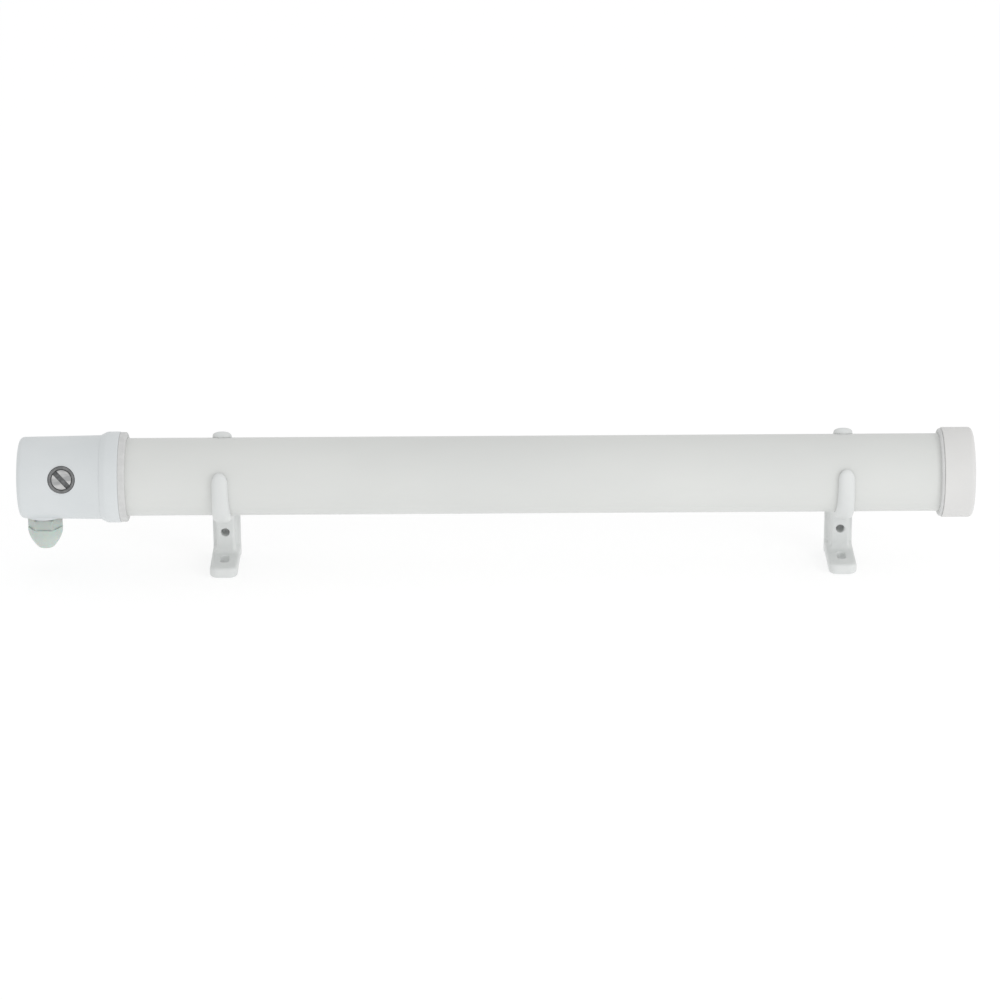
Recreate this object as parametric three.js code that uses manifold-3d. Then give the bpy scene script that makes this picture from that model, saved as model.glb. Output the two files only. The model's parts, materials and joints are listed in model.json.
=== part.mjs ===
// Slimline tubular heater on two clip brackets. Millimetres, +Z up, +X along the rod towards the plain cap,
// -Y towards the room, +Y towards the wall. The brackets' feet stand at z = 0 and the rod's axis is level.
import * as THREE from 'three';
import { mergeVertices } from 'three/addons/utils/BufferGeometryUtils.js';
import Module from 'manifold-3d';

const wasm = await Module();
wasm.setup();

// Driving dimensions
const LENGTH = 611.3; // over both ends
const TUBE_R = 25;
const TUBE_WALL = 1.2;
const AXIS_HEIGHT = 64; // rod axis above the feet
const WALL_PLANE = 30; // rod axis to the brackets' backs
const GAP = 0.3; // between pieces that touch

const HOUSING_END_R = 26.2;
const HOUSING_BODY_R = 27;
const COLLAR_R = 29.25;
const CAP_R = 28.95;
const SHELL_WALL = 2.4;

const LEFT_BRACKET_X = -176;
const RIGHT_BRACKET_X = 223.5;
const BRACKET_WIDTH = 18;
const CLIP_WIDTH = 12.8;
const FOOT_FRONT = -17;
const FOOT_THICKNESS = 7;
const SCREW_HOLE_R = 2.75;

const ADJUSTER_X = -276.6;
const ADJUSTER_TILT = THREE.MathUtils.degToRad(16); // above the front horizontal
const GLAND_X = -291;

const ROUND = 48; // facets round the rod
const SMALL_ROUND = 20; // facets round the small turned pieces

// Places along the rod that several pieces share
const HALF = LENGTH / 2;
const COLLAR_MOUTH = -240.8;
const COLLAR_START = -248.8;
const CONE_START = -253;
const TUBE_LEFT = -251;
const CAP_RIM = 286;
const TUBE_RIGHT = 296;
const SOCKET_R = TUBE_R + 0.35;
const BORE_R = TUBE_R - TUBE_WALL;
const REBATE_R = 27; // rebates in both mouths, for the seals
const REBATE_DEPTH = 1.2;

// Materials
const paint = (color, roughness, metalness = 0) => (
  new THREE.MeshStandardMaterial({ color, roughness, metalness })
);
const enamel = paint(0xe9ecea, 0.35);
const housingPlastic = paint(0xe6eaeb, 0.4);
const capPlastic = paint(0xededec, 0.4);
const bracketPlastic = paint(0xe8eae9, 0.42);
const glandNylon = paint(0xcfd6d3, 0.45);
const rubber = paint(0x3a3c3e, 0.8);
const sealRubber = paint(0xb8b9b8, 0.7);
const plated = paint(0xc2c5c8, 0.3, 1);
const adjusterMetal = paint(0xc9c9c8, 0.35, 0.9);
const phenolic = paint(0x2b2a2b, 0.5);
const terminalNylon = paint(0xe9e6dc, 0.5);
const brass = paint(0xc9a452, 0.35, 1);
const sheathSteel = paint(0x8f8a84, 0.4, 1);
const ceramic = paint(0xe8e2d4, 0.7);
const liveSleeve = paint(0x7a3f22, 0.5);
const neutralSleeve = paint(0x2a5fa8, 0.5);
const earthSleeve = paint(0x5d9a3a, 0.5);

// A geometry as a manifold solid
function solid(geometry) {
  const bare = geometry.clone();
  bare.deleteAttribute('normal');
  bare.deleteAttribute('uv');
  const merged = mergeVertices(bare, 1e-4);
  const mesh = new wasm.Mesh({
    numProp: 3,
    vertProperties: new Float32Array(merged.attributes.position.array),
    triVerts: new Uint32Array(merged.index.array),
  });
  return new wasm.Manifold(mesh);
}

// A manifold solid as a geometry
function geometryOf(manifold) {
  const mesh = manifold.getMesh();
  const geometry = new THREE.BufferGeometry();
  geometry.setAttribute('position', new THREE.BufferAttribute(new Float32Array(mesh.vertProperties), 3));
  geometry.setIndex(new THREE.BufferAttribute(new Uint32Array(mesh.triVerts), 1));
  geometry.computeVertexNormals();
  return geometry;
}

// Turned shape about +X: the profile is [x, radius] pairs, outer side towards +X first
function turned(profile, facets = ROUND) {
  const points = profile.map(([x, r]) => new THREE.Vector2(r, x));
  return new THREE.LatheGeometry(points, facets).rotateZ(-Math.PI / 2);
}

// Turned ring about +X with a hole: the profile is a closed loop
function turnedRing(profile, facets = ROUND) {
  return turned([...profile, profile[0]], facets);
}

function ring(x0, x1, inner, outer, facets = ROUND) {
  return turnedRing([[x0, inner], [x0, outer], [x1, outer], [x1, inner]], facets);
}

function rod(x0, x1, radius, facets = SMALL_ROUND) {
  return turned([[x0, 0], [x0, radius], [x1, radius], [x1, 0]], facets);
}

function box(x0, x1, y0, y1, z0, z1) {
  const block = new THREE.BoxGeometry(x1 - x0, y1 - y0, z1 - z0);
  return block.translate((x0 + x1) / 2, (y0 + y1) / 2, (z0 + z1) / 2);
}

// Quarter-round points of an outline, from one angle to another about a centre
function arc(cx, cy, radius, from, to, steps = 4) {
  return Array.from({ length: steps + 1 }, (_, i) => {
    const angle = THREE.MathUtils.degToRad(from + ((to - from) * i) / steps);
    return [cx + radius * Math.cos(angle), cy + radius * Math.sin(angle)];
  });
}

// Hexagon bar about +X with its flats across_flats apart
function hexBar(x0, x1, acrossFlats) {
  return rod(x0, x1, acrossFlats / Math.sqrt(3), 6);
}

// Round bar along Y at (x, z), or along -Z at (x, y)
const alongY = (geometry, x, z) => geometry.rotateZ(Math.PI / 2).translate(x, 0, z);
const alongDown = (geometry, x, y) => geometry.rotateY(Math.PI / 2).translate(x, y, 0);

function named(name, geometry, material) {
  const mesh = new THREE.Mesh(geometry, material);
  mesh.name = name;
  return mesh;
}

// Core of the heater: everything set out about the adjuster's axis, which leans up from the horizontal
const core = new THREE.Group();
core.rotation.x = -ADJUSTER_TILT;
const leaning = new THREE.Matrix4().makeRotationX(-ADJUSTER_TILT);
// In the core's frame the adjuster's axis is -Y; positions along it are negative y.

// Tube, with a rear hole at each end for the fixing screws
const SCREW_CLEAR_R = 1.8;
const HOUSING_SCREW_X = -246.4;
const CAP_SCREW_X = 291.6;
const SCREW_HEAD_SEAT = 27.2;
const rearHole = (x) => alongY(rod(18, 34, SCREW_CLEAR_R), x, 0).applyMatrix4(leaning);
const rearRecess = (x) => alongY(rod(SCREW_HEAD_SEAT, 34, 3.6), x, 0).applyMatrix4(leaning);
const tube = solid(ring(TUBE_LEFT, TUBE_RIGHT, BORE_R, TUBE_R))
  .subtract(solid(rearHole(HOUSING_SCREW_X)))
  .subtract(solid(rearHole(CAP_SCREW_X)));

// Terminal housing: a cup with a stepped collar, a sunk flat for the gland and the adjuster's window
const HOUSING_CORNER = 3.4;
const WINDOW_R = 8.8;
const GLAND_SEAT = 24.4; // round flat sunk in the housing's underside, below the axis
const GLAND_SEAT_R = 12;
const GLAND_INNER_SEAT = 20.4;
const GLAND_HOLE_R = 8.3;
const housingShell = solid(turned([
  [-HALF, 0],
  ...arc(HOUSING_CORNER - HALF, HOUSING_END_R - HOUSING_CORNER, HOUSING_CORNER, 180, 90),
  [CONE_START, HOUSING_BODY_R],
  [CONE_START + 0.6, HOUSING_BODY_R + 0.5],
  [COLLAR_START, COLLAR_R - 0.3],
  [COLLAR_START + 0.5, COLLAR_R],
  ...arc(COLLAR_MOUTH - 0.6, COLLAR_R - 0.6, 0.6, 90, 0, 2),
  [COLLAR_MOUTH, REBATE_R],
  [COLLAR_MOUTH - REBATE_DEPTH, REBATE_R],
  [COLLAR_MOUTH - REBATE_DEPTH, SOCKET_R],
  [TUBE_LEFT - GAP, SOCKET_R],
  [TUBE_LEFT - GAP, BORE_R],
  [SHELL_WALL - HALF, BORE_R],
  [SHELL_WALL - HALF, 0],
]));
const housing = housingShell
  .add(solid(alongDown(rod(GLAND_INNER_SEAT, GLAND_SEAT + 0.6, GLAND_SEAT_R + 0.7, 32), GLAND_X, 0)))
  .subtract(solid(alongDown(rod(GLAND_SEAT, 35, GLAND_SEAT_R, 32), GLAND_X, 0)))
  .subtract(solid(alongDown(rod(15, 35, GLAND_HOLE_R, 32), GLAND_X, 0)))
  .subtract(solid(alongY(rod(-34, -15, WINDOW_R, 40), ADJUSTER_X, 0).applyMatrix4(leaning)))
  .subtract(solid(rearHole(HOUSING_SCREW_X)))
  .subtract(solid(rearRecess(HOUSING_SCREW_X)));

// Plain end cap: a cup over the tube's other end
const CAP_CORNER = 2.6;
const cap = solid(turned([
  [HALF - SHELL_WALL, 0],
  [HALF - SHELL_WALL, BORE_R],
  [TUBE_RIGHT + GAP, BORE_R],
  [TUBE_RIGHT + GAP, SOCKET_R],
  [CAP_RIM + REBATE_DEPTH, SOCKET_R],
  [CAP_RIM + REBATE_DEPTH, REBATE_R],
  [CAP_RIM, REBATE_R],
  ...arc(CAP_RIM + 0.6, CAP_R - 0.6, 0.6, 180, 90, 2),
  ...arc(HALF - CAP_CORNER, CAP_R - CAP_CORNER, CAP_CORNER, 90, 0),
  [HALF, 0],
]))
  .subtract(solid(rearHole(CAP_SCREW_X)))
  .subtract(solid(rearRecess(CAP_SCREW_X)));

// Mouth seal: a soft ring on the tube, with a spigot in the mouth's rebate and a rounded head outside it
function mouthSeal(headR, headLength) {
  const reach = GAP - REBATE_DEPTH;
  return turnedRing([
    [reach, SOCKET_R],
    [reach, REBATE_R - GAP],
    [GAP, REBATE_R - GAP],
    [GAP, headR],
    ...arc(GAP + headLength - 1.2, headR - 1.2, 1.2, 90, 0, 3),
    [GAP + headLength, SOCKET_R],
  ]);
}
const housingSeal = mouthSeal(COLLAR_R - 0.4, 4.1).translate(COLLAR_MOUTH, 0, 0);
const capSeal = mouthSeal(CAP_R - 0.8, 1.7).rotateZ(Math.PI).translate(CAP_RIM, 0, 0);

// Self-tapping screw along Y with a cross recess, its head resting at SCREW_HEAD_SEAT
function fixingScrew(x) {
  const blank = solid(alongY(turned([
    [19, 0],
    [20, 1.4],
    [SCREW_HEAD_SEAT + GAP, 1.5],
    [SCREW_HEAD_SEAT + GAP, 3.2],
    [SCREW_HEAD_SEAT + 1.2, 3.1],
    [SCREW_HEAD_SEAT + 1.7, 2.2],
    [SCREW_HEAD_SEAT + 1.8, 0],
  ], SMALL_ROUND), x, 0));
  const top = SCREW_HEAD_SEAT + 2.5;
  const slots = solid(box(x - 1.6, x + 1.6, SCREW_HEAD_SEAT + 0.9, top, -0.35, 0.35))
    .add(solid(box(x - 0.35, x + 0.35, SCREW_HEAD_SEAT + 0.9, top, -1.6, 1.6)));
  return geometryOf(blank.subtract(slots));
}

// Thermostat adjuster: a slotted disc on a spindle, turned with a screwdriver
const DISC_FACE = 26.1;
const DISC_BACK = 23.4;
const DISC_R = 6.4;
const SPINDLE_R = 3;
const SPINDLE_END = 15.5;
const SLOT_DEPTH = 2;
const adjusterBlank = solid(turned([
  [SPINDLE_END, 0],
  [SPINDLE_END, SPINDLE_R],
  [DISC_BACK, SPINDLE_R],
  [DISC_BACK, DISC_R],
  [DISC_FACE - 0.2, DISC_R],
  [DISC_FACE, DISC_R - 0.2],
  [DISC_FACE, 0],
], 40).rotateZ(-Math.PI / 2));
const slot = box(-1.6, 1.6, -DISC_FACE - 1, SLOT_DEPTH - DISC_FACE, -8, 8)
  .rotateY(THREE.MathUtils.degToRad(-43));
const adjuster = geometryOf(adjusterBlank.subtract(solid(slot)));
const adjusterSeal = ring(24, 26.35, DISC_R + GAP, WINDOW_R - GAP, 40).rotateZ(-Math.PI / 2);

// Thermostat: a switch block with a threaded bush round the spindle
const THERMOSTAT_HALF = 13;
const SCREW_SPOTS = [['left', -10, 5.5], ['right', 10, -5.5]]; // thermostat screws from the adjuster's axis
let thermostat = solid(box(-THERMOSTAT_HALF, THERMOSTAT_HALF, -12.3, -GAP, -9, 9))
  .add(solid(rod(12, 18.5, 4.75, 24).rotateZ(-Math.PI / 2)))
  .subtract(solid(rod(15, 20, SPINDLE_R + GAP, 24).rotateZ(-Math.PI / 2)));
const bushNut = solid(hexBar(12.6, 15.2, 13).rotateZ(-Math.PI / 2))
  .subtract(solid(rod(10, 20, 4.75 + GAP, 24).rotateZ(-Math.PI / 2)));

// Carrier: a folded steel strip, screwed to the tube's rear wall through the housing's collar
const CARRIER_T = 1.2;
const TAB_FACE = 22.8;
const EARTH_X = -257.5;
const EARTH_Z = 8;
let carrier = solid(box(-300, -251.5, 0, CARRIER_T, -12.5, 11))
  .add(solid(box(-252.7, -251.5, 0, TAB_FACE, -5.5, 5.5)))
  .add(solid(box(-252.7, -236, TAB_FACE - CARRIER_T, TAB_FACE, -5.5, 5.5)))
  .subtract(solid(alongY(rod(18, 26, SCREW_CLEAR_R, 16), HOUSING_SCREW_X, 0)))
  .subtract(solid(alongY(rod(-2, 4, 2.4, 16), EARTH_X, EARTH_Z)));
for (const [, x, z] of SCREW_SPOTS) {
  thermostat = thermostat.subtract(solid(alongY(rod(-5, 1, 1.7, 12), x, z)));
  carrier = carrier.subtract(solid(alongY(rod(-2, 4, 1.9, 12), ADJUSTER_X + x, z)));
}

// Small pan-head screw along -Y, its head resting at y = seat
function panScrew(x, z, seat, length, radius) {
  const head = seat + GAP;
  const blank = solid(alongY(turned([
    [head - length, 0],
    [head - length, radius],
    [head, radius],
    [head, radius * 2],
    [head + radius, radius * 1.8],
    [head + radius * 1.3, 0],
  ], 16), x, z));
  const reach = 2.5 * radius;
  const cut = box(x - reach, x + reach, head + radius * 0.7, head + radius * 2, z - 0.3, z + 0.3);
  return geometryOf(blank.subtract(solid(cut)));
}

// Terminal block: three poles side by side behind the carrier, each with a wire way and a screw
const POLE_PITCH = 9;
const POLE_START = -296;
const BLOCK_Z = -6.5;
const WIRE_Y = 5;
const poleX = [0, 1, 2].map((i) => POLE_START + POLE_PITCH * i);
let block = solid(box(POLE_START - 4.5, poleX[2] + 4.5, CARRIER_T + GAP, 12.5, BLOCK_Z - 6, BLOCK_Z + 6));
for (const x of poleX) {
  block = block
    .subtract(solid(rod(-8, 8, 1.9, 12).rotateY(Math.PI / 2).translate(x, WIRE_Y, BLOCK_Z)))
    .subtract(solid(alongY(rod(4, 14, 2.2, 16), x, BLOCK_Z)));
}

// Overheat cut-out: a disc in a flanged can on the carrier's front
const cutout = turned([
  [GAP, 0],
  [GAP, 6],
  [1.5, 6],
  [1.5, 4.9],
  [6.5, 4.9],
  [7, 4.4],
  [7, 0],
], 24).rotateZ(-Math.PI / 2).translate(-256.8, 0, 0);

// Heating element: a sheathed rod bent into a long hairpin, with a cold pin and a ceramic bush at each end
const ELEMENT_R = 3.25;
const ELEMENT_HALF_PITCH = 8;
const ELEMENT_START = -226;
const ELEMENT_BEND = 258;
const bend = solid(new THREE.TorusGeometry(ELEMENT_HALF_PITCH, ELEMENT_R, 16, 32)
  .rotateX(Math.PI / 2)
  .translate(ELEMENT_BEND, 0, 0))
  .intersect(solid(box(ELEMENT_BEND, ELEMENT_BEND + 20, -10, 10, -20, 20)));
const leg = (z) => solid(rod(ELEMENT_START, ELEMENT_BEND, ELEMENT_R, 16).translate(0, 0, z));
const element = bend.add(leg(ELEMENT_HALF_PITCH)).add(leg(-ELEMENT_HALF_PITCH));

// Element support: a sprung steel star that centres the hairpin in the tube
const SUPPORT_X = [-190, -45, 100, 240];
function support(x) {
  const ways = [ELEMENT_HALF_PITCH, -ELEMENT_HALF_PITCH].map((z) => (
    solid(rod(x - 2, x + 2, ELEMENT_R + GAP, 16).translate(0, 0, z))
  ));
  const arms = solid(box(x - 0.5, x + 0.5, -3.5, 3.5, -23.2, 23.2))
    .add(solid(box(x - 0.5, x + 0.5, -23.2, 23.2, -3.5, 3.5)))
    .add(solid(rod(x - 0.5, x + 0.5, 14, 24)));
  return geometryOf(arms.subtract(ways[0]).subtract(ways[1]));
}

// Inner lead: a round conductor in its sleeve along a smooth line
function lead(points, radius = 1.1) {
  const section = new THREE.Shape(arc(0, 0, radius, 0, 315, 7).map(([x, y]) => new THREE.Vector2(x, y)));
  const route = new THREE.CatmullRomCurve3(points.map((p) => new THREE.Vector3(...p)));
  return new THREE.ExtrudeGeometry(section, { steps: 14, extrudePath: route, bevelEnabled: false });
}

// Inner leads: block to thermostat, thermostat to element, block to element, block to earth tag
const BLOCK_TOP = BLOCK_Z + 6 + GAP;
const PIN_END = -240.8;
const THERMOSTAT_EDGE = 10;
const LEADS = [
  ['live_lead', liveSleeve, [
    [poleX[0], WIRE_Y, BLOCK_TOP],
    [poleX[0], WIRE_Y, 6],
    [poleX[0] + 0.5, 3.5, 12.5],
    [-292.5, -1, 15],
    [-287.5, -5, 14],
    [-284.6, -6, THERMOSTAT_EDGE],
  ]],
  ['switched_lead', liveSleeve, [
    [-268, -6, -THERMOSTAT_EDGE],
    [-267, -6, -13],
    [-262, -4, -15.5],
    [-254, -3, -15],
    [-247, -2, -11.5],
    [-243, -0.5, -8.6],
    [PIN_END, 0, -ELEMENT_HALF_PITCH],
  ]],
  ['neutral_lead', neutralSleeve, [
    [poleX[1], WIRE_Y, BLOCK_TOP],
    [poleX[1] + 0.5, 6, 4],
    [-281, 9, 8.5],
    [-270, 11, 11],
    [-258, 10, 12.5],
    [-250, 7, 12.5],
    [-245, 2.5, 9.6],
    [PIN_END, 0, ELEMENT_HALF_PITCH],
  ]],
  ['earth_lead', earthSleeve, [
    [poleX[2], WIRE_Y, BLOCK_TOP],
    [poleX[2] + 0.5, 5.5, 3],
    [-273, 5, 6],
    [-267, 3.5, 7.4],
    [EARTH_X - 5.1, 2.9, 7.8],
  ]],
];

// Gland, downwards from the housing: lock nut, washer, body, seal insert and dome nut
const washer = alongDown(ring(GLAND_SEAT + GAP, GLAND_SEAT + 1.5, GLAND_HOLE_R, 10.8, 32), GLAND_X, 0);
const BODY_TOP = GLAND_SEAT + 1.8;
const BODY_DEPTH = 6.7;
const THREAD_R = 8;
const STUB_R = 7.6;
const STUB_END = 38.6;
const glandBody = solid(hexBar(BODY_TOP, BODY_TOP + BODY_DEPTH, 19.4))
  .add(solid(rod(16.5, BODY_TOP + 1, THREAD_R, 32)))
  .add(solid(rod(BODY_TOP + 3, STUB_END, STUB_R, 32)))
  .subtract(solid(rod(15, 42, 5, 24)));
const lockNut = solid(hexBar(17.1, GLAND_INNER_SEAT - GAP, 18))
  .subtract(solid(rod(10, 30, THREAD_R + GAP, 32)));
const DOME_TOP = BODY_TOP + BODY_DEPTH + GAP;
const DOME_R = 11.2;
const DOME_BEND = 34.6; // where its side starts to curve in
const DOME_TIP = 46.7;
const DOME_TIP_R = 5.5;
const domeSide = [0, 0.25, 0.45, 0.65, 0.85, 1].map((share) => (
  [DOME_BEND + (DOME_TIP - DOME_BEND) * share, DOME_R - (DOME_R - DOME_TIP_R) * share ** 1.8]
));
const domeNut = solid(turned([
  [DOME_TOP, STUB_R + GAP],
  [DOME_TOP, DOME_R],
  ...domeSide,
  [DOME_TIP, 4.4],
  [42.5, 7],
  [40, STUB_R + GAP],
  [DOME_TOP, STUB_R + GAP],
], 32));
const insert = ring(STUB_END + GAP, 44, 3.5, 5.5, 24);

// Clip bracket, set out about the rod's axis: a crowned C-clip on a back plate with a foot
const CLIP_OUTER = 30;
const CLIP_EDGE_R = 26.2;
const FINGER_TOP = 24; // degrees above the front horizontal
const ARM_TOP = 101;
const PAD_FRONT = 12;
const PAD_HALF = 5.8;
const PLATE_FRONT = 26;
const PLATE_TOP = 8;
const WALL_HOLE_Z = -43;
const FLOOR_SLOT = [-2.75, 4.25]; // centres of the floor slot's two round ends
const FOOT_CORNER = 5.5;
const PAD_FILLET = 5;
const THROAT_FILLET = 10; // between the clip and the pad

function bracket() {
  const halfClip = CLIP_WIDTH / 2;
  const crown = solid(turnedRing([
    [-halfClip, SOCKET_R],
    [-halfClip, CLIP_EDGE_R],
    [-halfClip * 0.75, CLIP_EDGE_R + 1.9],
    [-halfClip * 0.4, CLIP_OUTER - 0.4],
    [0, CLIP_OUTER],
    [halfClip * 0.4, CLIP_OUTER - 0.4],
    [halfClip * 0.75, CLIP_EDGE_R + 1.9],
    [halfClip, CLIP_EDGE_R],
    [halfClip, SOCKET_R],
  ]));
  // The mouth between the finger's tip and the arm's tip, as a wedge out from the axis
  const mouthReach = 60;
  const mouth = [[0, 0], ...arc(0, 0, mouthReach, 180 - ARM_TOP, 180 - FINGER_TOP, 2)];
  // A side outline of [y, z] points carried across the bracket's width
  const crosswise = new THREE.Matrix4().set(0, 0, 1, 0, 1, 0, 0, 0, 0, 1, 0, 0, 0, 0, 0, 1);
  const side = (points, half) => {
    const outline = new THREE.Shape(points.map(([y, z]) => new THREE.Vector2(y, z)));
    const across = new THREE.ExtrudeGeometry(outline, { depth: 2 * half, bevelEnabled: false });
    return across.translate(0, 0, -half).applyMatrix4(crosswise);
  };
  const foot = new THREE.Shape();
  const halfWidth = BRACKET_WIDTH / 2;
  const cornerY = FOOT_FRONT + FOOT_CORNER;
  foot.moveTo(-halfWidth, WALL_PLANE);
  foot.lineTo(-halfWidth, cornerY);
  foot.absarc(FOOT_CORNER - halfWidth, cornerY, FOOT_CORNER, Math.PI, Math.PI * 1.5, false);
  foot.absarc(halfWidth - FOOT_CORNER, cornerY, FOOT_CORNER, Math.PI * 1.5, Math.PI * 2, false);
  foot.lineTo(halfWidth, WALL_PLANE);
  const slab = new THREE.ExtrudeGeometry(foot, {
    depth: FOOT_THICKNESS,
    bevelEnabled: false,
    curveSegments: 6,
  });
  const footTop = FOOT_THICKNESS - AXIS_HEIGHT;
  const plate = box(-halfWidth, halfWidth, PLATE_FRONT, WALL_PLANE, footTop - 1, PLATE_TOP);
  const throatY = PAD_FRONT - THROAT_FILLET;
  const throatZ = -Math.sqrt((CLIP_OUTER + THROAT_FILLET) ** 2 - throatY ** 2);
  const pad = side([
    [PLATE_FRONT + 1, footTop - 1],
    [PLATE_FRONT + 1, -8],
    [throatY, -8],
    ...arc(throatY, throatZ, THROAT_FILLET, 90, 0, 5),
    ...arc(PAD_FRONT - PAD_FILLET, footTop + PAD_FILLET, PAD_FILLET, 0, -90, 5),
    [PAD_FRONT - PAD_FILLET, footTop - 1],
  ], PAD_HALF);
  const slotEnds = FLOOR_SLOT.map((y) => solid(alongDown(rod(50, 70, SCREW_HOLE_R), 0, y)));
  return geometryOf(crown
    .subtract(solid(side(mouth, CLIP_WIDTH)))
    .add(solid(slab.translate(0, 0, -AXIS_HEIGHT)))
    .add(solid(plate))
    .add(solid(pad))
    .subtract(solid(rod(-20, 20, SOCKET_R, ROUND)))
    .subtract(solid(alongY(rod(5, 35, SCREW_HOLE_R), 0, WALL_HOLE_Z)))
    .subtract(wasm.Manifold.hull(slotEnds)));
}
const bracketShape = bracket();

core.add(
  named('housing_fixing_screw', fixingScrew(HOUSING_SCREW_X), plated),
  named('end_cap_fixing_screw', fixingScrew(CAP_SCREW_X), plated),
  named('carrier_plate', geometryOf(carrier), plated),
  named('terminal_block', geometryOf(block), terminalNylon),
  named('overheat_cutout', cutout, phenolic),
  named('earth_screw', panScrew(EARTH_X, EARTH_Z, CARRIER_T + 1.3, 6, 2), brass),
  named('earth_ring_tag', alongY(ring(1.5, 2.3, 2.4, 4.2, 20), EARTH_X, EARTH_Z), plated),
  named('heating_element', geometryOf(element), sheathSteel),
  ...LEADS.map(([name, sleeve, points]) => named(name, lead(points), sleeve)),
);
for (const [word, x, z] of SCREW_SPOTS) {
  core.add(named(`thermostat_screw_${word}`, panScrew(ADJUSTER_X + x, z, CARRIER_T, 5, 1.3), plated));
}
poleX.forEach((x, i) => {
  core.add(named(`terminal_screw_${i + 1}`, alongY(rod(7.2, 11, 1.9, 16), x, BLOCK_Z), brass));
});
SUPPORT_X.forEach((x, i) => core.add(named(`element_support_${i + 1}`, support(x), plated)));
for (const [word, z] of [['upper', ELEMENT_HALF_PITCH], ['lower', -ELEMENT_HALF_PITCH]]) {
  const bush = ring(ELEMENT_START - 5, ELEMENT_START - GAP, 1.5, 3, 16).translate(0, 0, z);
  const pin = rod(ELEMENT_START - 14, ELEMENT_START - GAP, 1.2, 12).translate(0, 0, z);
  core.add(named(`element_bush_${word}`, bush, ceramic), named(`element_pin_${word}`, pin, plated));
}

// Turned pieces on the adjuster's axis
const adjusterLine = new THREE.Group();
adjusterLine.position.x = ADJUSTER_X;
adjusterLine.add(
  named('thermostat_adjuster', adjuster, adjusterMetal),
  named('adjuster_seal_ring', adjusterSeal, rubber),
  named('thermostat_body', geometryOf(thermostat), phenolic),
  named('thermostat_bush_nut', geometryOf(bushNut), plated),
);
core.add(adjusterLine);

const glandLine = new THREE.Group();
glandLine.position.x = GLAND_X;
glandLine.rotation.y = Math.PI / 2;
glandLine.add(
  named('gland_body', geometryOf(glandBody), glandNylon),
  named('gland_lock_nut', geometryOf(lockNut), glandNylon),
  named('gland_dome_nut', geometryOf(domeNut), glandNylon),
  named('gland_seal_insert', insert, rubber),
);

const heater = new THREE.Group();
heater.add(
  named('heater_tube', geometryOf(tube), enamel),
  named('terminal_housing', geometryOf(housing), housingPlastic),
  named('end_cap', geometryOf(cap), capPlastic),
  named('housing_seal', housingSeal, sealRubber),
  named('end_cap_seal', capSeal, sealRubber),
  named('gland_washer', washer, rubber),
  core,
  glandLine,
);

const assembly = new THREE.Group();
assembly.position.z = AXIS_HEIGHT;
const leftBracket = named('left_bracket', bracketShape, bracketPlastic);
leftBracket.position.x = LEFT_BRACKET_X;
const rightBracket = named('right_bracket', bracketShape, bracketPlastic);
rightBracket.position.x = RIGHT_BRACKET_X;
assembly.add(heater, leftBracket, rightBracket);

export default assembly;
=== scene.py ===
import json
import math

import bmesh
import bpy
import numpy as np
from mathutils import Matrix, Vector


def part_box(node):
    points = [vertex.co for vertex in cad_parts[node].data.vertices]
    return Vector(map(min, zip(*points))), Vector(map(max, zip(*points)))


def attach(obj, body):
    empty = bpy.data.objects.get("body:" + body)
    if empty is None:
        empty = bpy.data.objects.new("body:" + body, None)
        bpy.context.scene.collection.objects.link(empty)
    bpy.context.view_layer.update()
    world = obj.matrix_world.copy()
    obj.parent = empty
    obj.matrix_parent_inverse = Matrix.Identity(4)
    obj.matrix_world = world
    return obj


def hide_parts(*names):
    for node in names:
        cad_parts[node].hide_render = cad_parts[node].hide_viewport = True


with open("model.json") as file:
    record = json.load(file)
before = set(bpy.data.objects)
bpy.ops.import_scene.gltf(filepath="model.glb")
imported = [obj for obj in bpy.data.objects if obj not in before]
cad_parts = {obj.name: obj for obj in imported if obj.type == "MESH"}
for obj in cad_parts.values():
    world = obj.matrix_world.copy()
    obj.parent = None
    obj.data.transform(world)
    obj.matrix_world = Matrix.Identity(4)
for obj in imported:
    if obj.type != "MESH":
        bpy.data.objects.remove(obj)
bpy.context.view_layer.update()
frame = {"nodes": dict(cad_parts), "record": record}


# ------------------------------------------------------------ Camera, light and floor
# The heater is seen from the room, from 20 degrees above it and a long way off, so that its sides stay
# nearly parallel. It stands on a plain pale floor in soft light, with a softbox on the right and a
# weaker, broader one in front.

MM = 0.001
tube_low, tube_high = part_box("heater_tube")
AXIS_Z = (tube_low.z + tube_high.z) / 2 / MM

VIEW_DISTANCE = 2.5
VIEW_WIDTH = 0.643
VIEW_RISE = math.radians(20)
VIEW_ROLL = math.radians(-0.35)
VIEW_SHIFT = (0.0026, 0.0163)  # how far right of and below the rod's middle the view is centred
VIEW_END = 60
SENSOR = 36.0

view_turn = Matrix.Rotation(math.pi / 2 - VIEW_RISE, 4, "X")
view_up = view_turn @ Vector((0, 1, 0))
view_back = view_turn @ Vector((0, 0, 1))
aim = Vector((VIEW_SHIFT[0], 0, AXIS_Z * MM)) - view_up * VIEW_SHIFT[1]
camera_data = bpy.data.cameras.new("camera")
camera_data.sensor_width = SENSOR
camera_data.lens = SENSOR * VIEW_DISTANCE / VIEW_WIDTH
camera_data.clip_end = VIEW_END
camera = bpy.data.objects.new("camera", camera_data)
bpy.context.scene.collection.objects.link(camera)
roll = Matrix.Rotation(VIEW_ROLL, 4, "Z")
camera.matrix_world = Matrix.Translation(aim + view_back * VIEW_DISTANCE) @ view_turn @ roll
bpy.context.scene.camera = camera

bpy.context.scene.view_settings.view_transform = "Standard"

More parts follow.
